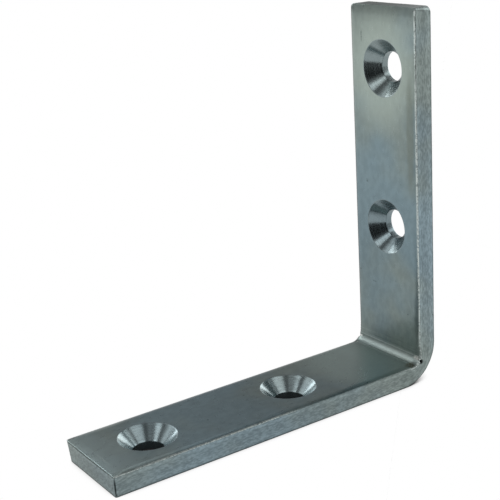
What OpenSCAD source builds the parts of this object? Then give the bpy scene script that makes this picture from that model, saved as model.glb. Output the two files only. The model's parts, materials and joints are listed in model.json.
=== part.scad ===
// Corner brace bracket: a flat steel bar, blanked, punched, countersunk and bent square, all one piece.
// The outer faces of the two legs lie in the planes Z = 0 and X = 0, and Y = 0 is the middle of the width.
// The flat leg runs from the bend along -X, and the upright leg along +Z.

/* [Bar] */
// Width of the bar
bar_w = 20; // [18:0.5:40]
// Thickness of the bar
bar_t = 4.5; // [4:0.1:8]
// Length of the flat leg, from the outer face of the upright leg
flat_leg = 80; // [70:1:160]
// Length of the upright leg, from the outer face of the flat leg
upright_leg = 81; // [70:1:160]
// Radius of the blank's four corners
corner_r = 0.8; // [0.2:0.1:3]

/* [Bend] */
// Radius on the inside of the bend
inside_r = 2.2; // [1.5:0.1:4]
// Radius on the outside of the bend, where the bar thins as it stretches
outside_r = 9; // [7:0.1:10]
// Height of the swelling that the bend squeezes out of each side
swell_h = 0.4; // [0.1:0.05:0.6]
// Reach of that swelling round the inside of the bend
swell_r = 3.6; // [2.5:0.1:4.5]

/* [Rolled edges] */
// Width of the edge of the inner face that the blanking die drew down along each side
roll_w = 1.6; // [0.8:0.1:2]
// Depth of that edge at the side of the bar
roll_d = 0.3; // [0.1:0.05:0.6]
// Width of the longer, flatter edge that the die drew down at each free end
end_roll_w = 4; // [2:0.1:6]
// Depth of that edge at the end
end_roll_d = 0.35; // [0.1:0.05:0.6]

/* [Screw holes] */
// Screw holes in each leg
holes = 2; // [1:1:2]
// Distance from the free end of a leg to the middle of its outer hole
end_margin = 12.9; // [9:0.1:18]
// Distance between the two holes of a leg
hole_pitch = 34.4; // [16:0.2:36]
// Diameter of the screw hole
hole_d = 6.4; // [4:0.1:8]
// Diameter of the countersink at the inner face
sink_d = 12; // [9:0.1:14]
// Angle across the countersink
sink_angle = 90; // [80:1:110]

/* [Hidden] */
$fn = 96;
// Length by which a cutting shape reaches past the face that it cuts
past = 1;
// Distance from the outer faces to the axis of the bend, where the straight legs start
bend_at = bar_t + inside_r;
// Radius of a drawn-down edge, which leaves the inner face smoothly and ends in an angle at the side
function roll_radius(width, depth) = (width ^ 2 + depth ^ 2) / (2 * depth);
roll_r = roll_radius(roll_w, roll_d);
end_roll_r = roll_radius(end_roll_w, end_roll_d);
// Radius of the ball that the swelling is a cap of
swell_ball_r = (swell_r ^ 2 + swell_h ^ 2) / (2 * swell_h);
// Distance from the outer faces to the middle of the inside of the bend, where the swelling is highest
swell_at = bend_at - inside_r * cos(45);
// Width of the stock that both swellings are cut from
stock_w = bar_w + 2 * (swell_h + past);
// Depth at which the countersink has narrowed to the screw hole
sink_depth = (sink_d - hole_d) / 2 / tan(sink_angle / 2);

// What the die drew away along an edge, as depth under the inner face against distance across the band
module drawn_away(across, r) {
    difference() {
        translate([-past, 0]) square([past + r, across]);
        translate([r, 0]) circle(r = r);
    }
}

// Section of the bar, as depth under the inner face against place across the width
module section() {
    difference() {
        translate([0, -stock_w / 2]) square([bar_t, stock_w]);
        for (side = [0, 1])
            mirror([0, side]) translate([0, bar_w / 2 - roll_w]) drawn_away(stock_w / 2, roll_r);
    }
}

// Drawn-down edge of a leg's free end
module end_roll(leg) {
    translate([-bar_t, 0, leg - end_roll_w])
        rotate([90, 0, 0])
            linear_extrude(stock_w, center = true) drawn_away(end_roll_w + past, end_roll_r);
}

// What is outside the rounded corners of a leg's free end
module end_corners(leg) {
    block = corner_r + past;
    for (side = [0, 1])
        mirror([0, side, 0]) translate([-bar_t / 2, bar_w / 2 - corner_r, leg - corner_r])
            difference() {
                translate([-bar_t / 2 - past, 0, 0]) cube([bar_t + 2 * past, block, block]);
                rotate([0, 90, 0]) cylinder(r = corner_r, h = bar_t + 4 * past, center = true);
            }
}

// Screw hole and its countersink, sunk from the inner face
module screw_hole() {
    rotate([0, 90, 0]) {
        translate([0, 0, -past]) cylinder(d = hole_d, h = bar_t + 2 * past);
        cylinder(d1 = sink_d, d2 = hole_d, h = sink_depth);
        translate([0, 0, -past]) cylinder(d = sink_d, h = past);
    }
}

// One leg from the bend to its free end, drawn as the upright one
module straight_leg(leg) {
    difference() {
        translate([-bar_t, 0, bend_at]) linear_extrude(leg - bend_at) section();
        end_roll(leg);
        end_corners(leg);
        for (i = [0 : holes - 1])
            translate([-bar_t, 0, leg - end_margin - i * hole_pitch]) screw_hole();
    }
}

// The bend between the legs, its inside round and its section the same as theirs
module bend() {
    translate([-bend_at, 0, bend_at])
        rotate([90, 90, 0]) rotate_extrude(angle = 90) translate([inside_r, 0]) section();
}

// What the stretched outside of the bend lacks of a square corner
module outside_cut() {
    difference() {
        translate([-outside_r, -stock_w / 2 - past, -past])
            cube([outside_r + past, stock_w + 2 * past, outside_r + past]);
        translate([-outside_r, 0, outside_r])
            rotate([90, 0, 0]) cylinder(r = outside_r, h = stock_w + 4 * past, center = true);
    }
}

// The true width of the bar, with the swelling on each side of the bend
module width_and_swellings() {
    translate([-flat_leg - past, -bar_w / 2, -past])
        cube([flat_leg + 2 * past, bar_w, upright_leg + 2 * past]);
    for (side = [0, 1])
        mirror([0, side, 0]) intersection() {
            translate([-swell_at, bar_w / 2 + swell_h - swell_ball_r, swell_at]) sphere(r = swell_ball_r);
            translate([-flat_leg, 0, 0]) cube([flat_leg, stock_w / 2, upright_leg]);
        }
}

module bracket() {
    color("lightsteelblue")
        difference() {
            intersection() {
                union() {
                    straight_leg(upright_leg);
                    mirror([1, 0, 1]) straight_leg(flat_leg);
                    bend();
                }
                width_and_swellings();
            }
            outside_cut();
        }
}

bracket();
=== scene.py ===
"""A zinc-plated corner brace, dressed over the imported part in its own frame.

The bar is modelled in the order in which a press makes it. A flat blank gets the edges that the die drew
down, its countersunk holes and its rounded arrises. Then it is bent square, which thins its outside and
swells its sides. The blank is measured in millimetres, and the finished mesh is in metres.
"""

import json
import logging
import math
from collections.abc import Iterable
from dataclasses import dataclass, field
from enum import IntEnum
from typing import Any

import bmesh
import bpy
from mathutils import Matrix, Vector, noise


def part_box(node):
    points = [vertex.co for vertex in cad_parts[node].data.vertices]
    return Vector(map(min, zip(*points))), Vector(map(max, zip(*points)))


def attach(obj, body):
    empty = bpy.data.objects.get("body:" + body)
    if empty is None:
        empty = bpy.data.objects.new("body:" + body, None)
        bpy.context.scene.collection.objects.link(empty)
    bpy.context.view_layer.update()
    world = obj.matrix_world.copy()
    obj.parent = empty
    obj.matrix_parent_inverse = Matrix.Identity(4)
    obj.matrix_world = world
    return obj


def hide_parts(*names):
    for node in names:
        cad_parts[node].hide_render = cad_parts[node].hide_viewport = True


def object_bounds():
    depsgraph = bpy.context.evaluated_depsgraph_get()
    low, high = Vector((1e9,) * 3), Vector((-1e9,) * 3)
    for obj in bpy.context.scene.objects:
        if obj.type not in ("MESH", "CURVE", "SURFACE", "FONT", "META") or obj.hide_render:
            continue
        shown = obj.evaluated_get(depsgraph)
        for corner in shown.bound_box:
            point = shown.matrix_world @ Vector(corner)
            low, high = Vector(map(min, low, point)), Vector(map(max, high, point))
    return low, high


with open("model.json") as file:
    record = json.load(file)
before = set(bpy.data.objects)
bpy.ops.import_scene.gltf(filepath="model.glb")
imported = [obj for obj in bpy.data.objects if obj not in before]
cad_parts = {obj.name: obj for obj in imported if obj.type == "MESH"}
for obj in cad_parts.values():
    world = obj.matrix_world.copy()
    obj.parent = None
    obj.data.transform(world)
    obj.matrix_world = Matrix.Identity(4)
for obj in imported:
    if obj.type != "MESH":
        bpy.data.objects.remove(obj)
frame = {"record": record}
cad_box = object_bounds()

log = logging.getLogger("corner_brace")

MM = 0.001
NODE = "bracket"

# The mesh's own attributes, which the finishes take their places from
BLANK = "blank_mm"
RING = "ring_mm"
ACROSS = "across_grooves"

# Distances in mm on the blank: within which a point is on a face, and within which it is on a cut
TOUCH = 1e-4
ON_CUT = 1e-5

# What a shader node does, as its settings
SMOOTH = {"interpolation_type": "SMOOTHSTEP"}
PLUS = {"operation": "ADD"}
MINUS = {"operation": "SUBTRACT"}
TIMES = {"operation": "MULTIPLY"}
COVERED = {"data_type": "RGBA", "blend_type": "MIX"}
SHADED = {"data_type": "RGBA", "blend_type": "MULTIPLY"}


def linear(hex_colour: str) -> tuple[float, float, float, float]:
    """Turns an sRGB colour to the linear values that a shader takes.

    Args:
        hex_colour: The colour as six hex digits after a hash sign.

    Returns:
        Red, green, blue and an alpha of 1.
    """
    channels = [int(hex_colour[i : i + 2], 16) / 255 for i in (1, 3, 5)]
    red, green, blue = (c / 12.92 if c <= 0.04045 else ((c + 0.055) / 1.055) ** 2.4 for c in channels)
    return red, green, blue, 1.0


def add_node(
    tree: bpy.types.NodeTree,
    kind: str,
    settings: dict[str, Any] | None = None,
    inputs: dict[str | int, Any] | tuple = (),
) -> bpy.types.Node:
    """Adds one shader node with its settings and its links.

    Args:
        tree: The node tree that takes the node.
        kind: The node's type name.
        settings: Properties of the node, by name.
        inputs: A value or an output socket for each input, by the input's name or number, or in the
            node's own order.

    Returns:
        The new node.
    """
    node = tree.nodes.new(kind)
    for name, value in (settings or {}).items():
        setattr(node, name, value)
    for name, value in inputs.items() if isinstance(inputs, dict) else enumerate(inputs):
        if isinstance(value, bpy.types.NodeSocket):
            tree.links.new(value, node.inputs[name])
        else:
            node.inputs[name].default_value = value
    return node


def direction(azimuth: float, elevation: float) -> Vector:
    """Gives the unit vector of a direction.

    Args:
        azimuth: Degrees from +X towards +Y.
        elevation: Degrees over the floor.

    Returns:
        The unit vector.
    """
    turn, rise = math.radians(azimuth), math.radians(elevation)
    return Vector((math.cos(turn) * math.cos(rise), math.sin(turn) * math.cos(rise), math.sin(rise)))


def smooth_step(low: float, high: float, value: float) -> float:
    """Gives 0 below low, 1 above high, and a smooth rise between them."""
    share = min(1.0, max(0.0, (value - low) / (high - low)))
    return share * share * (3 - 2 * share)


def arc_depth(reach: float, width: float, depth: float) -> float:
    """Gives the depth of an arc that leaves a face smoothly.

    Args:
        reach: Distance from where the arc leaves the face.
        width: The whole width of the arc.
        depth: Its depth at that width.

    Returns:
        The depth at that distance.
    """
    r = (width**2 + depth**2) / (2 * depth)
    return r - math.sqrt(r**2 - min(max(reach, 0.0), r) ** 2)


def spaced(start: float, stop: float, longest: float) -> list[float]:
    """Divides a stretch into equal steps.

    Args:
        start: Where the stretch starts, in mm.
        stop: Where it stops, in mm.
        longest: The longest step, in mm.

    Returns:
        The places from start up to the last one before stop.
    """
    count = max(1, math.ceil((stop - start) / longest - 1e-6))
    return [start + (stop - start) * i / count for i in range(count)]


class Zone(IntEnum):
    """How each part of the surface was made, which is also its material's number."""

    ROLLED = 0
    SHEARED = 1
    ARRIS = 2
    TURNED = 3


@dataclass(frozen=True)
class BarSizes:
    """Sizes of the bar in mm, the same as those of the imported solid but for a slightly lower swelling.

    Attributes:
        width: Width of the bar.
        thick: Thickness of the bar.
        flat_leg: Length of the flat leg, from the outer face of the upright leg.
        upright_leg: Length of the upright leg, from the outer face of the flat leg.
        roll_w: Width of the edge that the die drew down along each side.
        roll_d: Depth of that edge at the side.
        end_roll_w: Width of the edge that it drew down at each free end.
        end_roll_d: Depth of that edge at the end.
        inside_r: Radius on the inside of the bend.
        outside_r: Radius on the outside of the bend.
        swell_h: Height of the swelling on each side of the bend.
        swell_r: Reach of that swelling.
    """

    flat_leg: float
    upright_leg: float
    width: float = 20.0
    thick: float = 4.5
    roll_w: float = 1.6
    roll_d: float = 0.3
    end_roll_w: float = 4.0
    end_roll_d: float = 0.35
    inside_r: float = 2.2
    outside_r: float = 9.0
    swell_h: float = 0.36
    swell_r: float = 3.6

    @property
    def bend_at(self) -> float:
        """Distance from the outer faces to the axis of the bend."""
        return self.thick + self.inside_r

    @property
    def half_bend(self) -> float:
        """Half the length of blank that the bend takes, along the middle of the thickness."""
        return (self.inside_r + self.thick / 2) * math.pi / 4

    @property
    def blank_ends(self) -> tuple[float, float]:
        """Places of the blank's two ends, measured along it from the middle of the bend."""
        straight = self.half_bend - self.bend_at
        return -self.flat_leg - straight, self.upright_leg + straight

    def roll_depth(self, across: float) -> float:
        """Depth of a side's drawn-down edge at a distance from where it starts."""
        return arc_depth(across, self.roll_w, self.roll_d)

    def end_depth(self, along: float) -> float:
        """Depth of an end's drawn-down edge at a distance from where it starts."""
        return arc_depth(along, self.end_roll_w, self.end_roll_d)


@dataclass(frozen=True)
class ScrewHole:
    """A countersunk screw hole, measured in mm on the flat blank.

    Attributes:
        name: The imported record's name of the bore.
        place: Distance of its middle along the blank, from the middle of the bend.
        bore_r: Radius of the hole.
        sink_r: Radius of the countersink at the face.
        lip_r: Radius to which the countersink's edge is worn.
        step_r: Radius of the edge between the countersink and the hole.
        burr_r: Radius of the edge on the outer face.
        mark_depth: Depth of the marks that the cutter left round the countersink.
        rings: Number of rings that the countersink's cone is divided into.
        ring_change: How far the noise that sets the marks' depth moves on from one ring to the next.
    """

    name: str
    place: float
    bore_r: float
    sink_r: float = 6.0
    lip_r: float = 0.22
    step_r: float = 0.16
    burr_r: float = 0.25
    mark_depth: float = 0.012
    rings: int = 14
    ring_change: float = 0.83

    @classmethod
    def from_record(cls, mount: dict[str, Any], sizes: BarSizes) -> "ScrewHole":
        """Finds a hole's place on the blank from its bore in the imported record.

        Args:
            mount: The bore's mount in the record.
            sizes: The bar's sizes.

        Returns:
            The hole, with its place along the blank.
        """
        x, _, z = (c / MM for c in mount["pos_m"])
        from_bend = max(-x, z) - sizes.bend_at + sizes.half_bend
        on_upright = z > -x
        return cls(mount["name"], from_bend if on_upright else -from_bend, mount["dims"]["r_mm"])

    def fillet(
        self, r: float, middle: tuple[float, float], first: float, last: float, steps: int
    ) -> list[tuple[float, float]]:
        """Gives points of a rounded edge in the hole's section.

        Args:
            r: Radius of the rounding.
            middle: Its middle, as distance from the hole's axis and depth.
            first: Angle of its first point, in degrees.
            last: Angle of its last point, in degrees.
            steps: Number of steps between them.

        Returns:
            Points as distance from the axis and depth.
        """
        turns = [math.radians(first + (last - first) * i / steps) for i in range(steps + 1)]
        return [(middle[0] + r * math.sin(a), middle[1] - r * math.cos(a)) for a in turns]

    def section(self, thick: float) -> list[tuple[float, float]]:
        """Gives the section of the hole's wall from the inner face to the outer one.

        Args:
            thick: Thickness of the bar, in mm.

        Returns:
            Points as distance from the axis and depth, with the countersink at 45 degrees.
        """
        # Each rounding turns through 45 degrees, so it starts back from its corner by the tangent of half
        lean = math.tan(math.radians(22.5))
        lip_back = self.lip_r * lean
        step_back = self.step_r * lean
        sink_depth = self.sink_r - self.bore_r
        lip = self.fillet(self.lip_r, (self.sink_r + lip_back, self.lip_r), 0, -45, 4)
        step = self.fillet(self.step_r, (self.bore_r + self.step_r, sink_depth + step_back), -45, -90, 3)
        burr = self.fillet(self.burr_r, (self.bore_r + self.burr_r, thick - self.burr_r), -90, -180, 4)
        top, low = lip[-1], step[0]
        cone = []
        for i in range(1, self.rings):
            share = i / self.rings
            mark = self.mark_depth * noise.noise(Vector((self.place, i * self.ring_change, 7.0)))
            r = top[0] + (low[0] - top[0]) * share + mark
            cone.append((r, top[1] + (low[1] - top[1]) * share + mark))
        return lip + cone + step + burr


@dataclass(frozen=True)
class Corner:
    """One corner of the blank, which the punch cut clean at the inner face and tore at the outer one.

    Attributes:
        inner_r: Radius at the inner face.
        outer_r: Radius at the outer face.
    """

    inner_r: float
    outer_r: float

    def radius(self, share: float) -> float:
        """Gives the radius at a share of the way through the bar."""
        return self.inner_r + (self.outer_r - self.inner_r) * share


@dataclass
class Blank:
    """The flat blank, with X along it, Y across it and its inner face at Z = 0, in mm.

    Attributes:
        sizes: The bar's sizes.
        holes: Its screw holes.
        corners: Its corners, by whether they are on the upright leg and whether they are on the +Y side.
        corner_w: Width of the finer net in which the corners are rounded.
        patch: Half the side of the square round each hole that is laid out anew.
        patch_cells: Number of steps along each side of that square.
        cell: Longest step along the rest of the blank.
        corner_cell: Longest step in the corners.
        bend_cell: Longest step along the bend.
        crease_cell: Longest step where the bend has left fine creases.
        crease_span: Distance from the bend to which that finer step is used.
        side_steps: Depths under the drawn-down edge at which the sides are first divided.
        side_cell: Longest step down the rest of the sides.
        side_last: Height of the last division over the outer face.
        inner_arris: Width of the worn edge between the drawn-down edge and the side.
        outer_arris: Width of the worn edge between the side and the outer face.
        wave: Height of the slow waves in the rolled faces.
        wave_mm: Size of those waves along the blank, across it and through it.
        wave_level: Value of their noise over which the face stays level.
        side_wave: Height of the unevenness of the sheared side.
        side_wave_mm: Size of that unevenness, the same way.
        side_wave_level: Value of its noise over which the side stays level.
        mesh: The blank's mesh.
    """

    sizes: BarSizes
    holes: list[ScrewHole]
    corners: dict[tuple[bool, bool], Corner] = field(
        default_factory=lambda: {
            (False, False): Corner(0.3, 0.35),
            (False, True): Corner(0.5, 2.0),
            (True, False): Corner(0.4, 1.4),
            (True, True): Corner(0.9, 1.2),
        }
    )
    corner_w: float = 2.0
    patch: float = 8.4
    patch_cells: int = 24
    cell: float = 0.9
    corner_cell: float = 0.27
    bend_cell: float = 0.24
    crease_cell: float = 0.13
    crease_span: float = 3.0
    side_steps: tuple[float, float, float] = (0.25, 0.6, 1.0)
    side_cell: float = 0.5
    side_last: float = 0.4
    inner_arris: float = 0.1
    outer_arris: float = 0.12
    wave: float = 0.010
    wave_mm: tuple[float, float, float] = (9.0, 7.0, 3.0)
    wave_level: float = 0.5
    side_wave: float = 0.022
    side_wave_mm: tuple[float, float, float] = (1.3, 8.0, 1.1)
    side_wave_level: float = 0.4
    mesh: bmesh.types.BMesh = field(default_factory=bmesh.new)

    def places_along(self) -> list[float]:
        """Gives the places along the blank where its faces are divided."""
        sizes = self.sizes
        low, high = sizes.blank_ends
        near_bend = sizes.half_bend + self.crease_span
        step = 2 * self.patch / self.patch_cells
        stretches = [(low, low + self.corner_w, self.corner_cell)]
        for hole in sorted(self.holes, key=lambda h: h.place):
            if stretches[-1][1] < -near_bend < near_bend < hole.place:
                stretches += self.bend_stretches(stretches[-1][1], near_bend)
            stretches.append((stretches[-1][1], hole.place - self.patch, self.cell))
            stretches.append((hole.place - self.patch, hole.place + self.patch, step))
        stretches.append((stretches[-1][1], high - self.corner_w, self.cell))
        stretches.append((high - self.corner_w, high, self.corner_cell))
        places = [place for stretch in stretches for place in spaced(*stretch)]
        return places[1:]

    def bend_stretches(self, start: float, near_bend: float) -> list[tuple[float, float, float]]:
        """Gives the stretches round the bend, as their start, stop and longest step."""
        half = self.sizes.half_bend
        return [
            (start, -near_bend, self.cell),
            (-near_bend, -half, self.crease_cell),
            (-half, half, self.bend_cell),
            (half, near_bend, self.crease_cell),
        ]

    def places_across(self) -> list[float]:
        """Gives the places across the blank where its faces are divided."""
        side = self.sizes.width / 2
        face = side - self.sizes.roll_w
        step = 2 * self.patch / self.patch_cells
        rolls = (-side, -face, self.corner_cell), (face, side, self.corner_cell)
        stretches = [rolls[0], (-face, face, step), rolls[1]]
        return [place for stretch in stretches for place in spaced(*stretch)][1:]

    def places_down(self) -> list[float]:
        """Gives the heights where the sides of the blank are divided."""
        *near, first = (self.sizes.roll_d + depth for depth in self.side_steps)
        last = self.sizes.thick - self.side_last
        return [-depth for depth in (*near, *spaced(first, last, self.side_cell), last)]

    def divide(self) -> None:
        """Makes the plain bar and cuts its faces into the net that the later steps shape."""
        low, high = self.sizes.blank_ends
        size = (high - low, self.sizes.width, self.sizes.thick)
        middle = ((low + high) / 2, 0.0, -self.sizes.thick / 2)
        bmesh.ops.create_cube(self.mesh, size=1.0)
        bmesh.ops.scale(self.mesh, vec=size, verts=self.mesh.verts)
        bmesh.ops.translate(self.mesh, vec=middle, verts=self.mesh.verts)
        for axis, places in enumerate((self.places_along(), self.places_across(), self.places_down())):
            normal = Vector((axis == 0, axis == 1, axis == 2))
            for place in places:
                geom = self.mesh.verts[:] + self.mesh.edges[:] + self.mesh.faces[:]
                bmesh.ops.bisect_plane(
                    self.mesh, geom=geom, dist=ON_CUT, plane_co=normal * place, plane_no=normal
                )

    def sink(self, hole: ScrewHole) -> None:
        """Opens a hole through both faces and lays its wall between them.

        Args:
            hole: The hole to make.
        """
        spot = Vector((hole.place, 0.0, 0.0))
        rims = []
        for height in (0.0, -self.sizes.thick):
            patch = [f for f in self.mesh.faces if self.in_patch(f, spot, height)]
            bmesh.ops.delete(self.mesh, geom=patch, context="FACES")
            edges = [e for e in self.mesh.edges if e.is_boundary]
            rims.append([e for e in edges if abs(e.verts[0].co.z - height) < TOUCH])
        section = hole.section(self.sizes.thick)
        steps = 4 * self.patch_cells
        turn = Matrix.Rotation(math.pi / 4, 3, "Z")
        made = bmesh.ops.create_circle(self.mesh, cap_ends=False, segments=steps, radius=section[0][0])
        bmesh.ops.rotate(self.mesh, cent=(0, 0, 0), matrix=turn, verts=made["verts"])
        bmesh.ops.translate(self.mesh, vec=spot, verts=made["verts"])
        ring = list({e for v in made["verts"] for e in v.link_edges})
        bmesh.ops.bridge_loops(self.mesh, edges=rims[0] + ring)
        for start, stop in zip(section, section[1:]):
            grown = bmesh.ops.extrude_edge_only(self.mesh, edges=ring)["geom"]
            verts = [g for g in grown if isinstance(g, bmesh.types.BMVert)]
            ring = [g for g in grown if isinstance(g, bmesh.types.BMEdge)]
            share = stop[0] / start[0]
            bmesh.ops.scale(
                self.mesh, vec=(share, share, 1), verts=verts, space=Matrix.Translation(-spot)
            )
            bmesh.ops.translate(self.mesh, vec=(0, 0, start[1] - stop[1]), verts=verts)
            for face in (g for g in grown if isinstance(g, bmesh.types.BMFace)):
                face.material_index = Zone.TURNED
        bmesh.ops.bridge_loops(self.mesh, edges=rims[1] + ring)

    def in_patch(self, face: bmesh.types.BMFace, spot: Vector, height: float) -> bool:
        """Tells whether a face lies in the square round a hole, on the face at that height."""
        middle = face.calc_center_median()
        near = max(abs(middle.x - spot.x), abs(middle.y)) < self.patch
        return near and abs(middle.z - height) < TOUCH

    def draw_down(self) -> None:
        """Rounds the blank's corners, and draws the edges of its inner face down as the die did."""
        sizes = self.sizes
        low, high = sizes.blank_ends
        side = sizes.width / 2
        for vert in self.mesh.verts:
            on_face = vert.co.z > -TOUCH
            end, sign = (high, 1.0) if vert.co.x > 0 else (-low, -1.0)
            to_end = end - abs(vert.co.x)
            to_side = side - abs(vert.co.y)
            corner_at = self.corners[vert.co.x > 0, vert.co.y > 0]
            r = corner_at.radius(-vert.co.z / sizes.thick)
            corner = r - to_end, r - to_side
            if min(corner) > 0:
                share = 1 - max(corner) / math.hypot(*corner)
                vert.co.x -= sign * corner[0] * share
                vert.co.y -= math.copysign(corner[1] * share, vert.co.y)
            if on_face:
                along = sizes.end_depth(sizes.end_roll_w - to_end)
                across = sizes.roll_depth(sizes.roll_w - to_side)
                # Near a corner the deeper of the two edges leads, and the other one joins it softly
                vert.co.z -= (along**4 + across**4) ** 0.25

    def mark_sides(self) -> None:
        """Marks the faces that the punch sheared."""
        for face in self.mesh.faces:
            face.normal_update()
            if face.material_index == Zone.ROLLED and abs(face.normal.z) < 0.5:
                face.material_index = Zone.SHEARED

    def wear_arrises(self) -> None:
        """Rounds the long edges between the sides and the two faces."""
        for height, width in ((-self.sizes.thick, self.outer_arris), (None, self.inner_arris)):
            sharp = [
                e
                for e in self.mesh.edges
                if {f.material_index for f in e.link_faces} == {Zone.ROLLED, Zone.SHEARED}
                and (height is None or abs(e.verts[0].co.z - height) < TOUCH)
            ]
            made = bmesh.ops.bevel(
                self.mesh,
                geom=sharp,
                offset=width,
                offset_type="OFFSET",
                affect="EDGES",
                segments=3,
                profile=0.5,
                material=-1,
                clamp_overlap=True,
            )
            for face in made["faces"]:
                beside = abs(face.calc_center_median().y) > self.sizes.width / 2 - 2 * width
                face.material_index = Zone.ARRIS if beside and height is None else Zone.SHEARED

    def uneven(self) -> None:
        """Gives the rolled faces their slow waves and the sheared sides their unevenness."""
        self.mesh.normal_update()
        moves = []
        for vert in self.mesh.verts:
            zones = {f.material_index for f in vert.link_faces}
            if Zone.TURNED in zones:
                continue
            # Both only lower the surface, so that none of it stands proud of the solid
            waves, torn = (
                noise.noise(Vector([c / size for c, size in zip(vert.co, sizes)]))
                for sizes in (self.wave_mm, self.side_wave_mm)
            )
            slow = self.wave * min(0.0, waves - self.wave_level)
            rough = self.side_wave * min(0.0, torn - self.side_wave_level)
            height = slow + (rough if Zone.ROLLED not in zones else 0.0)
            moves.append((vert, vert.normal * height))
        for vert, move in moves:
            vert.co += move

    def remember(self) -> None:
        """Keeps what the finishes need: each point's place on the blank and how it lies round its hole."""
        layers = self.mesh.verts.layers
        place, across = layers.float_vector.new(BLANK), layers.float_vector.new(ACROSS)
        ring = layers.float.new(RING)
        for vert in self.mesh.verts:
            vert[place] = vert.co
            hole = min(self.holes, key=lambda h: abs(vert.co.x - h.place))
            out = Vector((vert.co.x - hole.place, vert.co.y, 0.0))
            vert[ring] = out.length
            # The way up the countersink's slope, turned with the leg that it is on
            x, y, z = out.normalized() + Vector((0, 0, 1))
            vert[across] = (-z, y, x) if hole.place > 0 else (x, y, z)

    def make(self) -> bmesh.types.BMesh:
        """Makes the whole blank.

        Returns:
            The blank as a bmesh, in mm.
        """
        self.divide()
        for hole in self.holes:
            self.sink(hole)
            log.info("%s is sunk %.1f mm from the middle of the bend", hole.name, hole.place)
        self.draw_down()
        self.mark_sides()
        self.wear_arrises()
        self.uneven()
        self.remember()
        return self.mesh


@dataclass
class Bend:
    """The bend of a quarter turn, which takes a place on the blank to its place on the brace.

    Attributes:
        sizes: The bar's sizes.
        skin: Depth of metal under the inner face that keeps its thickness in the bend.
        pinch_at: Place along the blank and depth where the side is pinched inside the bend.
        pinch_w: Half the width of the notch that the pinch leaves.
        pinch_h: Half the height of that notch.
        pinch_d: Depth of that notch.
        pinch_from: Distances over the drawn-down edge between which the notch starts.
        roll_reach: Depth down the side to which the swelling bends the drawn-down edge over.
        crease_mm: Distance between the fine creases beside the bend.
        crease_h: Height of those creases.
        crease_starts: Distances from the bend between which the creases start.
        crease_fades: Distances between which they fade.
        crease_skin: Depth to which they reach in full.
    """

    sizes: BarSizes
    skin: float = 0.9
    pinch_at: tuple[float, float] = (1.0, 0.65)
    pinch_w: float = 0.52
    pinch_h: float = 0.4
    pinch_d: float = 0.5
    pinch_from: tuple[float, float] = (0.9, 1.6)
    roll_reach: float = 2.0
    crease_mm: float = 0.62
    crease_h: float = 0.012
    crease_starts: tuple[float, float] = (-0.4, 0.2)
    crease_fades: tuple[float, float] = (0.5, 2.4)
    crease_skin: float = 0.1

    def thickness(self, s: float) -> float:
        """Gives the thickness left under the inner face at a place along the blank.

        Args:
            s: The place along the blank, from the middle of the bend, in mm.

        Returns:
            The distance from the inner face to the outer one, in mm.
        """
        sizes = self.sizes
        gap = sizes.outside_r - sizes.bend_at
        past_bend = abs(s) - sizes.half_bend
        if past_bend >= gap:
            return sizes.thick
        if past_bend >= 0:
            rise = sizes.outside_r - math.sqrt(sizes.outside_r**2 - (gap - past_bend) ** 2)
            return sizes.thick - rise
        turn = self.turn(s)
        lead = gap * (math.sin(turn) + math.cos(turn))
        reach = math.sqrt(lead**2 - 2 * gap**2 + sizes.outside_r**2) - lead
        return reach - sizes.inside_r

    def turn(self, s: float) -> float:
        """Gives the angle through which the blank has turned at a place inside the bend."""
        return (s + self.sizes.half_bend) / (2 * self.sizes.half_bend) * math.pi / 2

    def swelling(self, s: float, depth: float) -> float:
        """Gives how far the side stands out, which is most on the inside of the bend."""
        sizes = self.sizes
        x, z = self.path(s, depth)
        at = sizes.bend_at - sizes.inside_r * math.cos(math.pi / 4)
        away = math.hypot(x + at, z - at)
        ball = (sizes.swell_r**2 + sizes.swell_h**2) / (2 * sizes.swell_h)
        return max(0.0, math.sqrt(max(ball**2 - away**2, 0.0)) - ball + sizes.swell_h)

    def crease(self, s: float) -> float:
        """Gives the depth of the fine creases that the bending tool left beside the bend."""
        past_bend = abs(s) - self.sizes.half_bend
        fade = smooth_step(*self.crease_starts, past_bend) * (1 - smooth_step(*self.crease_fades, past_bend))
        return self.crease_h * fade * (1 + math.cos(2 * math.pi * past_bend / self.crease_mm))

    def path(self, s: float, depth: float) -> tuple[float, float]:
        """Takes a place along the blank and a depth to the brace's own X and Z, in mm."""
        sizes = self.sizes
        past_bend = abs(s) - sizes.half_bend
        if past_bend < 0:
            turn = self.turn(s)
            r = sizes.inside_r + depth
            return r * math.sin(turn) - sizes.bend_at, sizes.bend_at - r * math.cos(turn)
        if s < 0:
            return -sizes.bend_at - past_bend, sizes.thick - depth
        return depth - sizes.thick, sizes.bend_at + past_bend

    def place(self, co: Vector) -> Vector:
        """Takes a point of the blank to its place on the brace.

        Args:
            co: The point on the blank, in mm.

        Returns:
            The point on the brace, in mm.
        """
        s, y, depth = co.x, co.y, -co.z
        sizes = self.sizes
        if depth > self.skin:
            share = (depth - self.skin) / (sizes.thick - self.skin)
            depth += share * (self.thickness(s) - sizes.thick)
        face = sizes.width / 2 - sizes.roll_w
        across = abs(y) - face
        depth += self.crease(s) * (1 - smooth_step(self.crease_skin, self.skin, depth))
        if across > 0:
            swell = self.swelling(s, depth) * across / sizes.roll_w
            extra = sizes.roll_depth(across + swell) - sizes.roll_depth(across)
            depth += extra * (1 - smooth_step(sizes.roll_d, self.roll_reach, depth))
            along, down = s - self.pinch_at[0], depth - self.pinch_at[1]
            near = math.exp(-((along / self.pinch_w) ** 2) - (down / self.pinch_h) ** 2)
            swell -= self.pinch_d * near * smooth_step(*self.pinch_from, across)
            y = math.copysign(abs(y) + swell, y)
        x, z = self.path(s, depth)
        return Vector((x, y, z))


# Sizes of the plating's patterns in mm on the blank.
# Distance along the blank over which the passivate's tint goes from straw to blue and back
TINT_MM = 81.0
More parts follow.
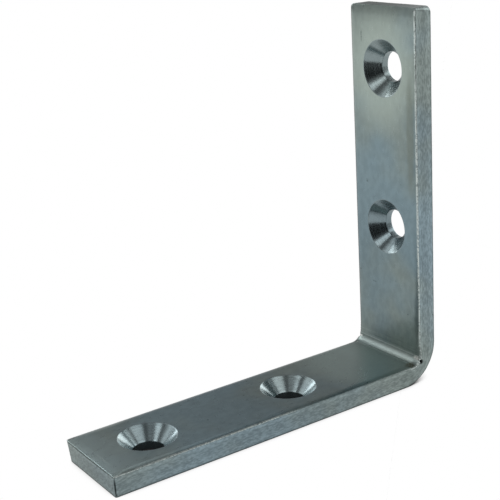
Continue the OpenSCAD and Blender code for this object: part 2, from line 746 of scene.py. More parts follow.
# Place along the blank where it is nearest to straw, and how far it goes from its mean
STRAW_AT = -8.0
TINT_WAVE = 0.22
# Size of the clouds in that tint, and of the slow light and dark patches over it
TINT_CLOUD_MM = 15.0
SHADE_CLOUD_MM = 24.0
# Size of the gaps in an edge's painted highlight, and of the flecks that break a mark up
GAP_MM = 0.5
FLECK_MM = 0.35
# Distance between pits, and radius of a pit's middle and of its rim. Real pits are too fine to show here,
# so these are drawn up to half a millimetre wide.
PIT_CELL_MM = 1.7
PIT_MM = (0.085, 0.272)
PIT_COLOUR = "#20282a"
# Width over which an edge's painted highlight and its painted shade set in
EDGE_HIGHLIGHT_MM = 0.3
EDGE_SHADE_MM = 0.35
# Stretch of the flat leg's near edge that the photo shows without a highlight, and that gets none painted:
# where it sets in and ends
BARE_FROM = (-40.0, -30.0)
BARE_TO = (-7.0, -4.0)
# Heights on a sheared side, from the outer face at -4.5 to the inner one at 0: the painted shade at the
# outer face's edge, the top and the foot of the torn middle, and the start of the strip of painted shade
# above it
OUTER_EDGE_SHADE = (-4.4, -4.1)
TORN_TOP = (-1.2, -0.9)
TORN_FOOT = (-3.6, -2.7)
SHADE_STRIP_FROM = (-0.75, -0.5)
# How fast a soft noise's detail fades as it gets finer. Its values lie mostly between 0.3 and 0.7, so the
# ranges that are cut from it are levels in between.
CLOUDY = {"Roughness": 0.55}


@dataclass(frozen=True)
class MarkAndPaintedLight:
    """A patch of another tone on the plating.

    The small ones are scratches from handling, a brownish patch, and painted highlights and shade at the
    edges and in the bend. The broad ones are painted light and shade that follow the slow changes of tone
    along the bar in the photo.

    Attributes:
        place: Its middle on the blank, in mm.
        reach: How far it reaches along the blank, across it and through it, in mm.
        colour: Its colour.
        share: How much of that colour it has in its middle.
        broken: Whether fine flecks break it up.
    """

    place: tuple[float, float, float]
    reach: tuple[float, float, float]
    colour: str
    share: float
    broken: bool = True

    def cover(self, tree: bpy.types.NodeTree, blank: Any, plated: Any) -> Any:
        """Lays the patch over a colour.

        Args:
            tree: The material's node tree.
            blank: The place on the blank, in mm.
            plated: The output of the colour under it.

        Returns:
            The output of the colour with the patch.
        """
        place = add_node(
            tree,
            "ShaderNodeMapping",
            {"vector_type": "TEXTURE"},
            {"Vector": blank, "Location": self.place, "Scale": self.reach},
        ).outputs[0]
        away = add_node(tree, "ShaderNodeVectorMath", {"operation": "LENGTH"}, (place,)).outputs["Value"]
        share = add_node(tree, "ShaderNodeMapRange", SMOOTH, (away, 0.4, 1.0, self.share, 0.0)).outputs[0]
        if self.broken:
            shape = {"Vector": blank, "Scale": 1 / FLECK_MM, "Detail": 2.0, **CLOUDY}
            flecks = add_node(tree, "ShaderNodeTexNoise", inputs=shape).outputs[0]
            kept = add_node(tree, "ShaderNodeMapRange", SMOOTH, (flecks, 0.4, 0.6, 0.35, 1.0)).outputs[0]
            share = add_node(tree, "ShaderNodeMath", TIMES, (share, kept)).outputs[0]
        colours = {6: plated, 7: linear(self.colour)}
        return add_node(tree, "ShaderNodeMix", COVERED, {0: share, **colours}).outputs[2]


@dataclass(frozen=True)
class ZincFinish:
    """Bright zinc plating with a clear blue passivate, over the surface that a tool left.

    It gives the eye a satin grey metal with a faint tint between blue and straw. The plating is a few
    micrometres thick and hides nothing, so every surface keeps the grain of the tool that made it.

    Attributes:
        name: Name of the material.
        cool: Colour of the plating where the passivate is bluest.
        warm: Colour of the plating where the passivate is thinnest.
        rough_low: Least roughness.
        rough_high: Greatest roughness.
        grain_mm: Size of the surface's grain along the blank, across it and through it.
        grain_height_mm: Height of that grain.
        mottle: Share by which the fine mottling darkens the plating.
        mottle_mm: Size of the fine mottling, along the blank, across it and through it.
        pit_share: Share of the plating's cells that have a dark pit.
        worn: Colour of the painted highlight on the near edge.
        edge_shade: Colour of the painted shade on the far edge and the outer face's edge, as dark as the
        photo's outline there.
        edge_shade_share: How much of that painted shade those two edges have.
        painted_edges_from: Distance from the middle of the width at which the near edge's painted highlight
        and the far edge's painted shade start.
        torn: Share by which the torn middle of a sheared side is darker, and by which painted shade darkens
            the strip above it.
        marks: Its marks, among them painted highlights and painted shade.
        turned: Whether the grain runs in rings round the screw hole.
        grooved: How much the rings' grooves draw a reflection out across them.
        scuff: Roughness that the bending tool added beside the bend.
        scuff_fades: Distances from the middle of the bend between which it fades, in mm.
        scuff_starts: Distances between which it grows from half to full, in mm.
    """

    name: str
    cool: str
    warm: str
    rough_low: float
    rough_high: float
    grain_mm: tuple[float, float, float]
    grain_height_mm: float
    mottle: float
    mottle_mm: tuple[float, float, float]
    pit_share: float = 0.0
    # Painted highlight colour of the near edge; painted shade colour of the far edge and of the outer face's
    # edge
    worn: str = "#dfeae7"
    edge_shade: str = "#2a3331"
    edge_shade_share: tuple[float, float] = (0.75, 0.7)
    painted_edges_from: float = 0.0
    torn: float = 0.0
    marks: tuple[MarkAndPaintedLight, ...] = ()
    turned: bool = False
    grooved: float = 0.0
    scuff: float = 0.17
    scuff_fades: tuple[float, float] = (4.0, 12.0)
    scuff_starts: tuple[float, float] = (2.0, 4.0)

    def passivate(self, tree: bpy.types.NodeTree, blank: Any, along: Any) -> Any:
        """Gives the plating's own colour, nearest to straw by the bend and at the upright leg's end.

        Args:
            tree: The material's node tree.
            blank: The place on the blank, in mm.
            along: Its part along the blank.

        Returns:
            The output of the colour.
        """
        turn = add_node(tree, "ShaderNodeMath", PLUS, (along, -STRAW_AT)).outputs[0]
        turn = add_node(tree, "ShaderNodeMath", TIMES, (turn, 2 * math.pi / TINT_MM)).outputs[0]
        wave = add_node(tree, "ShaderNodeMath", {"operation": "COSINE"}, (turn,)).outputs[0]
        wave = add_node(tree, "ShaderNodeMath", TIMES, (wave, TINT_WAVE)).outputs[0]
        shape = {"Vector": blank, "Scale": 1 / TINT_CLOUD_MM, "Detail": 2.0, **CLOUDY}
        clouds = add_node(tree, "ShaderNodeTexNoise", inputs=shape).outputs[0]
        clouds = add_node(tree, "ShaderNodeMath", PLUS, (clouds, wave)).outputs[0]
        tint = add_node(tree, "ShaderNodeMapRange", SMOOTH, (clouds, 0.25, 0.75, 0.0, 1.0)).outputs[0]
        colours = {6: linear(self.cool), 7: linear(self.warm)}
        plated = add_node(tree, "ShaderNodeMix", COVERED, {0: tint, **colours}).outputs[2]
        shape = {"Vector": blank, "Scale": 1 / SHADE_CLOUD_MM, "Detail": 1.0, **CLOUDY}
        patches = add_node(tree, "ShaderNodeTexNoise", inputs=shape).outputs[0]
        slow = add_node(tree, "ShaderNodeMapRange", SMOOTH, (patches, 0.3, 0.7, 0.93, 1.07)).outputs[0]
        scale = [1 / size for size in self.mottle_mm]
        place = add_node(tree, "ShaderNodeMapping", inputs={"Vector": blank, "Scale": scale}).outputs[0]
        shape = {"Vector": place, "Scale": 1.0, "Detail": 3.0, **CLOUDY}
        fine = add_node(tree, "ShaderNodeTexNoise", inputs=shape).outputs[0]
        levels = (fine, 0.35, 0.65, 1 - self.mottle, 1 + self.mottle)
        mottle = add_node(tree, "ShaderNodeMapRange", SMOOTH, levels).outputs[0]
        shade = add_node(tree, "ShaderNodeMath", TIMES, (slow, mottle)).outputs[0]
        return add_node(tree, "ShaderNodeMix", SHADED, {0: 1.0, 6: plated, 7: shade}).outputs[2]

    def paint_edge_light_and_shade(self, tree: bpy.types.NodeTree, blank: Any, parts: Any, plated: Any) -> Any:
        """Paints a highlight on the near edge, in a line with gaps, and paints shade on the far one.

        Args:
            tree: The material's node tree.
            blank: The place on the blank, in mm.
            parts: The outputs of its three parts.
            plated: The output of the colour so far.

        Returns:
            The output of the colour with its edges.
        """
        beside = add_node(tree, "ShaderNodeMath", TIMES, (parts["Y"], -1.0)).outputs[0]
        shape = {"Vector": blank, "Scale": 1 / GAP_MM, "Detail": 2.0, **CLOUDY}
        gaps = add_node(tree, "ShaderNodeTexNoise", inputs=shape).outputs[0]
        share = add_node(tree, "ShaderNodeMapRange", SMOOTH, (gaps, 0.36, 0.54, 0.25, 1.0)).outputs[0]
        start = self.painted_edges_from
        limits = (beside, start, start + EDGE_HIGHLIGHT_MM, 0.0, 1.0)
        near = add_node(tree, "ShaderNodeMapRange", SMOOTH, limits).outputs[0]
        bare_from, bare_to = (
            add_node(tree, "ShaderNodeMapRange", SMOOTH, (parts["X"], *stretch, 0.0, 1.0)).outputs[0]
            for stretch in (BARE_FROM, BARE_TO)
        )
        bare = add_node(tree, "ShaderNodeMath", MINUS, (bare_from, bare_to)).outputs[0]
        kept = add_node(tree, "ShaderNodeMath", MINUS, (1.0, bare)).outputs[0]
        share = add_node(tree, "ShaderNodeMath", TIMES, (share, near)).outputs[0]
        share = add_node(tree, "ShaderNodeMath", TIMES, (share, kept)).outputs[0]
        colours = {6: plated, 7: linear(self.worn)}
        plated = add_node(tree, "ShaderNodeMix", COVERED, {0: share, **colours}).outputs[2]
        limits = (parts["Y"], start, start + EDGE_SHADE_MM, 0.0, self.edge_shade_share[0])
        edge_shade = add_node(tree, "ShaderNodeMapRange", SMOOTH, limits).outputs[0]
        colours = {6: plated, 7: linear(self.edge_shade)}
        return add_node(tree, "ShaderNodeMix", COVERED, {0: edge_shade, **colours}).outputs[2]

    def tear_and_shade_side(self, tree: bpy.types.NodeTree, height: Any, plated: Any) -> Any:
        """Paints shade on the outer face's edge and on the strip above the torn middle, and darkens the torn
        middle.

        Args:
            tree: The material's node tree.
            height: The height on the blank, in mm.
            plated: The output of the colour so far.

        Returns:
            The output of the sheared side's colour.
        """
        limits = (height, *OUTER_EDGE_SHADE, self.edge_shade_share[1], 0.0)
        outer = add_node(tree, "ShaderNodeMapRange", SMOOTH, limits).outputs[0]
        colours = {6: plated, 7: linear(self.edge_shade)}
        plated = add_node(tree, "ShaderNodeMix", COVERED, {0: outer, **colours}).outputs[2]
        under_top, under_foot = (
            add_node(tree, "ShaderNodeMapRange", SMOOTH, (height, *zone, 1.0, 0.0)).outputs[0]
            for zone in (TORN_TOP, TORN_FOOT)
        )
        middle = add_node(tree, "ShaderNodeMath", MINUS, (under_top, under_foot)).outputs[0]
        strip = add_node(tree, "ShaderNodeMapRange", SMOOTH, (height, *SHADE_STRIP_FROM, 0.0, 0.8)).outputs[0]
        both = add_node(tree, "ShaderNodeMath", PLUS, (middle, strip)).outputs[0]
        dark = add_node(tree, "ShaderNodeMath", TIMES, (both, self.torn)).outputs[0]
        light = add_node(tree, "ShaderNodeMath", MINUS, (1.0, dark)).outputs[0]
        return add_node(tree, "ShaderNodeMix", SHADED, {0: 1.0, 6: plated, 7: light}).outputs[2]

    def pit(self, tree: bpy.types.NodeTree, blank: Any, plated: Any) -> Any:
        """Puts a dark pit in some of the plating's cells.

        Args:
            tree: The material's node tree.
            blank: The place on the blank, in mm.
            plated: The output of the colour so far.

        Returns:
            The output of the colour with the pits.
        """
        shape = {"Vector": blank, "Scale": 1 / PIT_CELL_MM}
        cells = add_node(tree, "ShaderNodeTexVoronoi", inputs=shape).outputs
        middle, rim = (size / PIT_CELL_MM for size in PIT_MM)
        limits = (cells["Distance"], middle, rim, 0.62, 0.0)
        near = add_node(tree, "ShaderNodeMapRange", SMOOTH, limits).outputs[0]
        chosen = add_node(tree, "ShaderNodeSeparateColor", inputs=(cells["Color"],)).outputs[0]
        limits = (chosen, 1 - self.pit_share, 1 - self.pit_share * 0.8, 0.0, 1.0)
        some = add_node(tree, "ShaderNodeMapRange", SMOOTH, limits).outputs[0]
        share = add_node(tree, "ShaderNodeMath", TIMES, (near, some)).outputs[0]
        colours = {6: plated, 7: linear(PIT_COLOUR)}
        return add_node(tree, "ShaderNodeMix", COVERED, {0: share, **colours}).outputs[2]

    def colour(self, tree: bpy.types.NodeTree, blank: Any) -> Any:
        """Gives the plating's colour with the painted highlight and shade on its edges, its torn middle,
        pits and marks.

        Args:
            tree: The material's node tree.
            blank: The place on the blank, in mm.

        Returns:
            The output of the colour.
        """
        parts = add_node(tree, "ShaderNodeSeparateXYZ", inputs=(blank,)).outputs
        plated = self.passivate(tree, blank, parts["X"])
        if self.painted_edges_from:
            plated = self.paint_edge_light_and_shade(tree, blank, parts, plated)
        if self.torn:
            plated = self.tear_and_shade_side(tree, parts["Z"], plated)
        if self.pit_share:
            plated = self.pit(tree, blank, plated)
        for mark in self.marks:
            plated = mark.cover(tree, blank, plated)
        return plated

    def scuffed(self, tree: bpy.types.NodeTree, blank: Any, rough: Any) -> Any:
        """Adds the roughness that the bending tool left, which is half as much in the bend itself.

        Args:
            tree: The material's node tree.
            blank: The place on the blank, in mm.
            rough: The output of the roughness so far.

        Returns:
            The output of the roughness with it.
        """
        along = add_node(tree, "ShaderNodeSeparateXYZ", inputs=(blank,)).outputs["X"]
        from_bend = add_node(tree, "ShaderNodeMath", {"operation": "ABSOLUTE"}, (along,)).outputs[0]
        starts = (from_bend, *self.scuff_starts, 0.5, 1.0)
        fades = (from_bend, *self.scuff_fades, self.scuff, 0.0)
        started, faded = (
            add_node(tree, "ShaderNodeMapRange", SMOOTH, limits).outputs[0] for limits in (starts, fades)
        )
        more = add_node(tree, "ShaderNodeMath", TIMES, (faded, started)).outputs[0]
        return add_node(tree, "ShaderNodeMath", PLUS, (rough, more)).outputs[0]

    def material(self) -> bpy.types.Material:
        """Makes the material.

        Returns:
            The material, with its patterns in the blank's own millimetres.
        """
        made = bpy.data.materials.new(self.name)
        made.use_nodes = True
        tree = made.node_tree
        tree.nodes.clear()
        blank = add_node(tree, "ShaderNodeAttribute", {"attribute_name": BLANK}).outputs["Vector"]
        place = blank
        surface = {"Metallic": 1.0, "Base Color": self.colour(tree, blank)}
        if self.turned:
            ring = add_node(tree, "ShaderNodeAttribute", {"attribute_name": RING}).outputs["Fac"]
            place = add_node(tree, "ShaderNodeCombineXYZ", inputs=(ring,)).outputs[0]
            across = add_node(tree, "ShaderNodeAttribute", {"attribute_name": ACROSS}).outputs["Vector"]
            surface.update({"Anisotropic": self.grooved, "Tangent": across})
        scale = [1 / size for size in self.grain_mm]
        place = add_node(tree, "ShaderNodeMapping", inputs={"Vector": place, "Scale": scale}).outputs[0]
        shape = {"Vector": place, "Scale": 1.0, "Detail": 4.0, **CLOUDY}
        grain = add_node(tree, "ShaderNodeTexNoise", inputs=shape).outputs[0]
        levels = (grain, 0.3, 0.7, self.rough_low, self.rough_high)
        rough = add_node(tree, "ShaderNodeMapRange", SMOOTH, levels).outputs[0]
        if not self.turned:
            rough = self.scuffed(tree, blank, rough)
        relief = {"Height": grain, "Distance": self.grain_height_mm * MM, "Strength": 1.0}
        bump = add_node(tree, "ShaderNodeBump", inputs=relief).outputs[0]
        surface.update({"Roughness": rough, "Normal": bump})
        shader = add_node(tree, "ShaderNodeBsdfPrincipled", inputs=surface)
        add_node(tree, "ShaderNodeOutputMaterial", inputs={"Surface": shader.outputs["BSDF"]})
        return made


FINISHES = {
    # Cold rolling left the strip smooth, so it mirrors the room softly, with a fine grain along the bar
    Zone.ROLLED: ZincFinish(
        name="zinc_over_rolled_face",
        cool="#80949b",
        warm="#889490",
        rough_low=0.27,
        rough_high=0.35,
        grain_mm=(2.4, 0.5, 0.5),
        grain_height_mm=0.005,
        mottle=0.06,
        mottle_mm=(2.0, 1.4, 1.4),
        pit_share=0.08,
        # The near edge's painted highlight and the far edge's painted shade start this far from the middle
        painted_edges_from=9.47,
        marks=(
            # Painted shade at the flat leg's free corner, and painted highlights along its free end and far
            # edge
            MarkAndPaintedLight((-74.6, -9.3, -0.2), (3.4, 0.7, 1.0), "#4c5443", 0.6),
            MarkAndPaintedLight((-75.1, -2.5, -0.2), (0.35, 5.0, 1.0), "#b9c6c2", 0.5),
            MarkAndPaintedLight((-69.5, 9.2, -0.1), (8.5, 1.1, 1.0), "#b4c2bf", 0.6, False),
            # Broad painted light and shade, as in the photo: lighter at the upright leg's end, darker along
            # its near edge, lighter at the free end and beside the bend
            MarkAndPaintedLight((64.5, 0.5, 0.0), (17.0, 13.0, 2.0), "#aebbb2", 0.6, False),
            MarkAndPaintedLight((52.0, -8.2, 0.0), (16.0, 1.5, 1.0), "#757c72", 0.55, False),
            MarkAndPaintedLight((-74.0, 0.0, 0.0), (6.5, 16.0, 2.0), "#9bacae", 0.6, False),
            MarkAndPaintedLight((-11.5, 0.0, 0.0), (13.0, 18.0, 2.0), "#a6b8b5", 0.7, False),
            # Painted light and shade in the bend: a highlight band, light and dark lines beside it and
            # bright glints at both edges; and a brownish patch beside it
            MarkAndPaintedLight((0.4, 0.0, 0.0), (1.6, 24.0, 2.0), "#a6b4b2", 0.5, False),
            MarkAndPaintedLight((-1.9, 0.0, 0.0), (0.35, 24.0, 2.0), "#55625f", 0.5, False),
            MarkAndPaintedLight((1.95, 0.0, 0.0), (0.2, 24.0, 2.0), "#5d6a68", 0.5),
            MarkAndPaintedLight((2.45, 0.0, 0.0), (0.22, 24.0, 2.0), "#b3c0bd", 0.6),
            MarkAndPaintedLight((4.3, 0.0, 0.0), (0.2, 24.0, 2.0), "#a3b1af", 0.5),
            MarkAndPaintedLight((1.6, -9.1, -0.1), (1.3, 0.9, 1.0), "#e6ebe6", 0.95),
            MarkAndPaintedLight((-2.8, -8.9, 0.0), (2.1, 1.2, 1.0), "#686149", 0.75),
            MarkAndPaintedLight((1.3, 9.1, 0.0), (0.45, 0.45, 1.0), "#e6ebe6", 0.95, False),
            MarkAndPaintedLight((-2.5, 8.9, 0.0), (0.35, 0.35, 1.0), "#c9d1cd", 0.8, False),
            # Small scratches on the upright leg
            MarkAndPaintedLight((71.3, 6.5, 0.0), (1.7, 0.28, 1.0), "#39423f", 0.6),
            MarkAndPaintedLight((39.9, 5.9, 0.0), (0.6, 0.4, 1.0), "#39423f", 0.5),
            MarkAndPaintedLight((16.9, 4.2, 0.0), (0.25, 0.9, 1.0), "#39423f", 0.5),
        ),
    ),
    # The punch sheared and tore this side, so it is coarse, speckled and brighter, and mirrors no shapes
    Zone.SHEARED: ZincFinish(
        name="zinc_over_sheared_side",
        cool="#93a7af",
        warm="#9aa7a4",
        rough_low=0.34,
        rough_high=0.46,
        grain_mm=(1.3, 0.6, 0.4),
        grain_height_mm=0.012,
        mottle=0.2,
        mottle_mm=(0.9, 0.6, 0.3),
        pit_share=0.2,
        # Darker torn middle, with painted shade on the strip above it and on the outer face's edge
        torn=0.14,
        marks=(
            # Painted shade in the notch under the pinch in the bend, and a painted dark line at the corner
            # near the eye
            MarkAndPaintedLight((0.9, -10.0, -0.75), (1.1, 0.7, 0.75), "#0c100f", 0.97, False),
            MarkAndPaintedLight((-76.8, -10.0, -2.5), (0.4, 0.4, 3.2), "#131a19", 0.95, False),
            # Painted shade on the free end's upper edge and on the upright leg's end face, which the photo
            # shows dark
            MarkAndPaintedLight((-76.7, 0.0, -0.4), (0.6, 16.0, 0.4), "#465250", 0.85, False),
            MarkAndPaintedLight((77.8, 0.0, -2.2), (0.6, 14.0, 6.0), "#4a5654", 0.7, False),
        ),
    ),
    # Tumbling wore the long edge round; a painted highlight draws the near one as a thin line with gaps, and
    # painted shade darkens the far one
    Zone.ARRIS: ZincFinish(
        name="zinc_over_worn_arris",
        cool="#80949b",
        warm="#889490",
        rough_low=0.28,
        rough_high=0.4,
        grain_mm=(0.5, 0.4, 0.4),
        grain_height_mm=0.02,
        mottle=0.2,
        mottle_mm=(0.6, 0.4, 0.4),
        # The near arris's painted highlight and the far arris's painted shade start this far from the middle
        painted_edges_from=9.0,
        marks=(
            # Painted shade at the start of the edge at the upright leg's end, and a painted highlight beside
            # the bend
            MarkAndPaintedLight((76.5, -10.0, -0.35), (4.5, 0.5, 0.4), "#1b2423", 0.7),
            MarkAndPaintedLight((-2.7, -10.0, -0.3), (0.6, 0.6, 0.6), "#e6ebe6", 0.9),
        ),
    ),
    # The countersink tool left rings, whose grooves draw each lamp out to a streak down the cone
    Zone.TURNED: ZincFinish(
        name="zinc_over_turned_sink",
        cool="#8a9a9f",
        warm="#97a4a4",
        rough_low=0.21,
        rough_high=0.3,
        grain_mm=(0.32, 0.3, 0.3),
        grain_height_mm=0.005,
        mottle=0.05,
        mottle_mm=(1.5, 1.5, 1.5),
        turned=True,
        grooved=0.85,
    ),
}


@dataclass
class CornerBrace:
    """The whole brace, from its blank to its finish.

    Attributes:
        sizes: The bar's sizes.
        holes: Its screw holes, placed on the blank.
    """

    sizes: BarSizes
    holes: list[ScrewHole]

    @classmethod
    def from_frame(cls, record: dict[str, Any]) -> "CornerBrace":
        """Takes the legs' lengths and the holes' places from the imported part.

        Args:
            record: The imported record.

        Returns:
            The brace, not yet built.
        """
        low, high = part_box(NODE)
        sizes = BarSizes(flat_leg=-low.x / MM, upright_leg=high.z / MM)
        bores = [m for m in record["mounts"] if m["kind"] == "bore"]
        return cls(sizes, [ScrewHole.from_record(m, sizes) for m in bores])

    def build(self) -> bpy.types.Object:
        """Builds the brace's mesh in its place.

        Returns:
            The brace's object, at the origin.
        """
        shape = Blank(self.sizes, self.holes).make()
        bend = Bend(self.sizes)
        for vert in shape.verts:
            vert.co = bend.place(vert.co) * MM
        bmesh.ops.recalc_face_normals(shape, faces=shape.faces)
        for face in shape.faces:
            face.smooth = True
        mesh = bpy.data.meshes.new("corner_brace")
        shape.to_mesh(mesh)
        shape.free()
        piece = bpy.data.objects.new("corner_brace", mesh)
        bpy.context.scene.collection.objects.link(piece)
        piece.modifiers.new("even_shading", "WEIGHTED_NORMAL").keep_sharp = False
        return piece

    def dress(self, piece: bpy.types.Object) -> None:
        """Gives the brace its finishes, one for each kind of surface.

        Args:
            piece: The brace's object.
        """
        for zone in Zone:
            piece.data.materials.append(FINISHES[zone].material())


@dataclass(frozen=True)
class Softbox:
    """A soft lamp that looks at the middle of the part.

    Attributes:
        name: Name of the lamp.
        azimuth: Direction from the part to the lamp, in degrees from +X towards +Y.
        elevation: Height of that direction over the floor, in degrees.
        size: Width and height of its face, in metres.
        radiance: Brightness of its face, where 1 is the white of the background.
        away: Distance from the part, in metres.
    """

    name: str
    azimuth: float
    elevation: float
    size: tuple[float, float]
    radiance: float
    away: float = 0.9

    def place(self, aim: Vector) -> bpy.types.Object:
        """Adds the lamp to the scene.

        Args:
            aim: The point that it looks at, in metres.

        Returns:
            The lamp's object.
        """
        lamp = bpy.data.lights.new(self.name, "AREA")
        lamp.shape = "RECTANGLE"
        lamp.size, lamp.size_y = self.size
        lamp.energy = self.radiance * math.pi * self.size[0] * self.size[1]
        item = bpy.data.objects.new(self.name, lamp)
        outward = direction(self.azimuth, self.elevation)
        item.location = aim + outward * self.away
        item.rotation_mode = "QUATERNION"
        item.rotation_quaternion = outward.to_track_quat("Z", "Y")
        item.visible_camera = False
        bpy.context.scene.collection.objects.link(item)
        return item


@dataclass(frozen=True)
class BlackFlag:
    """A black card beside the part, which gives the metal something dark to mirror.

    Attributes:
        azimuth: Direction from the part to the card, in degrees from +X towards +Y.
        away: Distance from the part, in metres.
        width: Width of the card, in metres.
        low: Height of its lower edge over the floor, in metres.
        high: Height of its upper edge, in metres.
        colour: Colour of the card.
    """

    azimuth: float = 212.0
    away: float = 0.16
    width: float = 0.14
    low: float = 0.004
    high: float = 0.17
    colour: str = "#060606"

    def place(self) -> bpy.types.Object:
        """Stands the card just over the floor, where only mirrored rays meet it.

        Returns:
            The card's object.
        """
        shape = bmesh.new()
        bmesh.ops.create_grid(shape, x_segments=1, y_segments=1, size=0.5)
        outward = direction(self.azimuth, 0.0)
        middle = outward * self.away + Vector((0, 0, (self.low + self.high) / 2))
        turn = outward.to_track_quat("Z", "Y").to_matrix().to_4x4()
        size = Matrix.Diagonal((self.width, self.high - self.low, 1, 1))
        bmesh.ops.transform(shape, matrix=Matrix.Translation(middle) @ turn @ size, verts=shape.verts)
        mesh = bpy.data.meshes.new("black_flag")
        shape.to_mesh(mesh)
        shape.free()
        item = bpy.data.objects.new("black_flag", mesh)
        bpy.context.scene.collection.objects.link(item)
        card = bpy.data.materials.new("black_card")
        card.use_nodes = True
        tree = card.node_tree
        tree.nodes.clear()
        paper = add_node(tree, "ShaderNodeBsdfDiffuse", inputs={"Color": linear(self.colour)})
        add_node(tree, "ShaderNodeOutputMaterial", inputs={"Surface": paper.outputs[0]})
        mesh.materials.append(card)
        item.visible_camera = False
        item.visible_diffuse = False
        item.visible_shadow = False
        return item


@dataclass
class Studio:
    """The plain floor and the soft light round the part.

    Attributes:
        aim: The point that the lamps look at, in metres.
        floor_size: Width of the floor, in metres.
        floor_colour: Colour of the floor.
        contact: Reach of the part's contact shadow, in metres.
        contact_samples: Number of rays that look for that shadow.
        seen_from: Open share of the sky at which the floor starts to look lit, seen directly.
        seen_full: Open share at which it looks white.
        mirrored: Brightness of the open floor in the metal.
        mirrored_power: Power of the open share by which that brightness falls near the part.
        far_way: Direction across the floor, in degrees, in which the upright leg mirrors it.
        far: Distances that way over which the floor grows brighter, in metres.
        far_gain: How many times brighter it grows, to just under white.
        bores: Middles of the screw holes that open on the floor, in metres.
        bore_r: Radius of those holes, in metres.
        bore_light: Brightness of the floor in them, as a share of the open floor's.
        bore_rim: Radius at which that shade has ended, as a share of the hole's.
        horizon: Brightness of the room just over the floor.
        ceiling: Brightness of the room overhead.
        ceiling_from: Sine of the elevation from which the room is as dim as the ceiling.
        lamps: The soft lamps.
    """

    aim: Vector
    bores: tuple[Vector, ...]
    bore_r: float
    floor_size: float = 16.0
    floor_colour: str = "#f4f4f4"
    contact: float = 0.014
    contact_samples: int = 24
    bore_light: float = 0.05
    bore_rim: float = 1.2
    seen_from: float = 0.2
    seen_full: float = 0.62
    mirrored: float = 0.73
    mirrored_power: float = 0.5
    far_way: float = 124.0
    far: tuple[float, float] = (0.18, 0.25)
    far_gain: float = 1.36
    horizon: float = 0.4
    ceiling: float = 0.2
    ceiling_from: float = 0.7
    lamps: tuple[Softbox, ...] = (
        Softbox("left_softbox", 181.0, 47.0, (0.36, 0.34), 1.6),
        Softbox("front_softbox", 297.0, 54.0, (0.66, 0.32), 1.25),
        Softbox("rear_softbox", 96.0, 20.0, (0.24, 0.5), 2.9),
        Softbox("rear_panel", 120.0, 35.0, (0.5, 0.44), 0.85),
        Softbox("right_softbox", 4.0, 15.0, (0.8, 0.6), 2.1),
        Softbox("right_panel", 36.0, 10.0, (0.3, 0.5), 0.6),
        Softbox("side_panel", 342.0, 30.0, (0.4, 0.4), 0.8),
        Softbox("high_panel", 74.0, 43.0, (0.5, 0.24), 0.75),
        Softbox("top_panel", 210.0, 66.0, (0.3, 0.26), 0.45),
    )

    def floor(self) -> bpy.types.Object:
        """Lays the floor, which is white to the eye and to metal and darkens where the part meets it.

        Returns:
            The floor's object.
        """
        shape = bmesh.new()
        bmesh.ops.create_grid(shape, x_segments=1, y_segments=1, size=self.floor_size / 2)
        mesh = bpy.data.meshes.new("floor")
        shape.to_mesh(mesh)
        shape.free()
        item = bpy.data.objects.new("floor", mesh)
        bpy.context.scene.collection.objects.link(item)
        made = bpy.data.materials.new("white_paper_floor")
        made.use_nodes = True
        tree = made.node_tree
        tree.nodes.clear()
        rays = add_node(tree, "ShaderNodeLightPath").outputs
        seen = rays["Is Camera Ray"]
        for kind in ("Is Glossy Ray", "Is Transmission Ray"):
            seen = add_node(tree, "ShaderNodeMath", {"operation": "MAXIMUM"}, (seen, rays[kind])).outputs[0]
        reach = {"Distance": self.contact}
        open_share = add_node(
            tree, "ShaderNodeAmbientOcclusion", {"samples": self.contact_samples}, reach
        ).outputs["AO"]
        near = (open_share, self.mirrored_power)
        fall = add_node(tree, "ShaderNodeMath", {"operation": "POWER"}, near).outputs[0]
        place = add_node(tree, "ShaderNodeTexCoord").outputs["Object"]
        away = (place, direction(self.far_way, 0.0))
        away = add_node(tree, "ShaderNodeVectorMath", {"operation": "DOT_PRODUCT"}, away).outputs["Value"]
        rise = (away, *self.far, self.mirrored, self.mirrored * self.far_gain)
        far = add_node(tree, "ShaderNodeMapRange", SMOOTH, rise).outputs[0]
        mirrored = add_node(tree, "ShaderNodeMath", TIMES, (fall, far)).outputs[0]
        lit = (open_share, self.seen_from, self.seen_full)
        direct = add_node(tree, "ShaderNodeMapRange", SMOOTH, lit).outputs[0]
        for bore in self.bores:
            away = add_node(tree, "ShaderNodeVectorMath", {"operation": "DISTANCE"}, (place, bore))
            limits = (away.outputs["Value"], self.bore_r, self.bore_r * self.bore_rim, self.bore_light)
            shade = add_node(tree, "ShaderNodeMapRange", inputs=limits).outputs[0]
            direct, mirrored = (
                add_node(tree, "ShaderNodeMath", TIMES, (light, shade)).outputs[0]
                for light in (direct, mirrored)
            )
        lights = {0: rays["Is Camera Ray"], 2: mirrored, 3: direct}
        light = add_node(tree, "ShaderNodeMix", inputs=lights).outputs[0]
        paper = add_node(tree, "ShaderNodeBsdfDiffuse", inputs={"Color": linear(self.floor_colour)})
        glow = add_node(tree, "ShaderNodeEmission", inputs={"Strength": light})
        both = add_node(tree, "ShaderNodeMixShader", inputs=(seen, paper.outputs[0], glow.outputs[0]))
        add_node(tree, "ShaderNodeOutputMaterial", inputs={"Surface": both.outputs[0]})
        mesh.materials.append(made)
        return item

    def room(self) -> None:
        """Lights the part from a grey room, which is dimmer overhead than at the horizon."""
        world = bpy.data.worlds.new("grey_room")
        bpy.context.scene.world = world
        world.use_nodes = True
        tree = world.node_tree
        tree.nodes.clear()
        toward = add_node(tree, "ShaderNodeTexCoord").outputs["Generated"]
        height = add_node(tree, "ShaderNodeSeparateXYZ", inputs={"Vector": toward}).outputs["Z"]
        limits = (height, 0.0, self.ceiling_from, self.horizon, self.ceiling)
        grey = add_node(tree, "ShaderNodeMapRange", SMOOTH, limits).outputs[0]
        light = add_node(tree, "ShaderNodeBackground", inputs={"Color": grey, "Strength": 1.0})
        add_node(tree, "ShaderNodeOutputWorld", inputs={"Surface": light.outputs[0]})

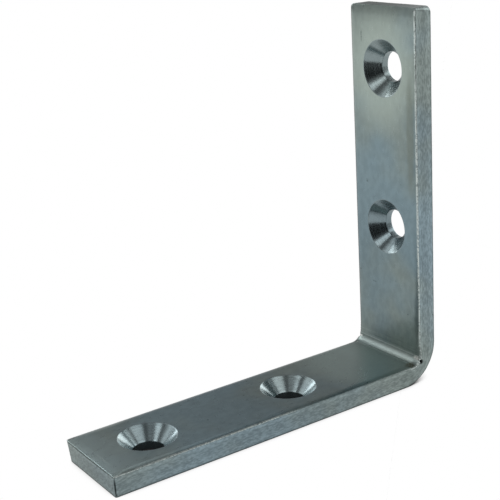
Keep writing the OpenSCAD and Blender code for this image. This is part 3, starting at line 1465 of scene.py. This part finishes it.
    def build(self) -> None:
        """Builds the floor, the room, the lamps and the flag."""
        self.floor()
        self.room()
        for lamp in self.lamps:
            lamp.place(self.aim)
            log.info("lamp %s is in place", lamp.name)
        BlackFlag().place()
        log.info("black flag is in place")


@dataclass(frozen=True)
class PhotoCamera:
    """The camera at the photograph's place.

    Attributes:
        eye_mm: Place of the lens.
        aim: Direction in which it looks.
        up: Direction that is up in the picture.
        focal_px: Focal length, in pixels of the 500 pixel picture.
        picture_px: Width of the picture, in pixels.
        sensor_mm: Width of the sensor.
    """

    eye_mm: tuple[float, float, float] = (-161.353, -182.261, 107.202)
    aim: tuple[float, float, float] = (0.52672, 0.792778, -0.306708)
    up: tuple[float, float, float] = (0.221274, 0.220502, 0.949956)
    focal_px: float = 1149.67
    picture_px: float = 500.0
    sensor_mm: float = 36.0

    def place(self) -> bpy.types.Object:
        """Adds the camera and makes it the scene's own.

        Returns:
            The camera's object.
        """
        camera = bpy.data.cameras.new("photo_camera")
        camera.sensor_width = self.sensor_mm
        camera.lens = self.focal_px * self.sensor_mm / self.picture_px
        camera.clip_start = 0.01
        item = bpy.data.objects.new("photo_camera", camera)
        back = -Vector(self.aim).normalized()
        right = Vector(self.up).cross(back).normalized()
        above = back.cross(right)
        item.matrix_world = Matrix.Translation(Vector(self.eye_mm) * MM) @ Matrix(
            (right, above, back)
        ).transposed().to_4x4()
        bpy.context.scene.collection.objects.link(item)
        bpy.context.scene.camera = item
        return item


def main() -> None:
    """Builds the brace, then the studio and the camera, and reports each piece."""
    logging.basicConfig(level=logging.INFO, format="%(name)s: %(message)s")
    bpy.context.scene.view_settings.view_transform = "Standard"
    brace = CornerBrace.from_frame(frame["record"])
    piece = brace.build()
    brace.dress(piece)
    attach(piece, "root")
    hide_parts(NODE)
    log.info("%s has %d faces", piece.name, len(piece.data.polygons))
    low, high = cad_box
    bores = [m for m in frame["record"]["mounts"] if m["kind"] == "bore" and m["axis"][2]]
    middles = tuple(Vector((m["pos_m"][0], m["pos_m"][1], 0.0)) for m in bores)
    Studio((low + high) / 2, middles, brace.holes[0].bore_r * MM).build()
    PhotoCamera().place()


if __name__ == "__main__":
    main()
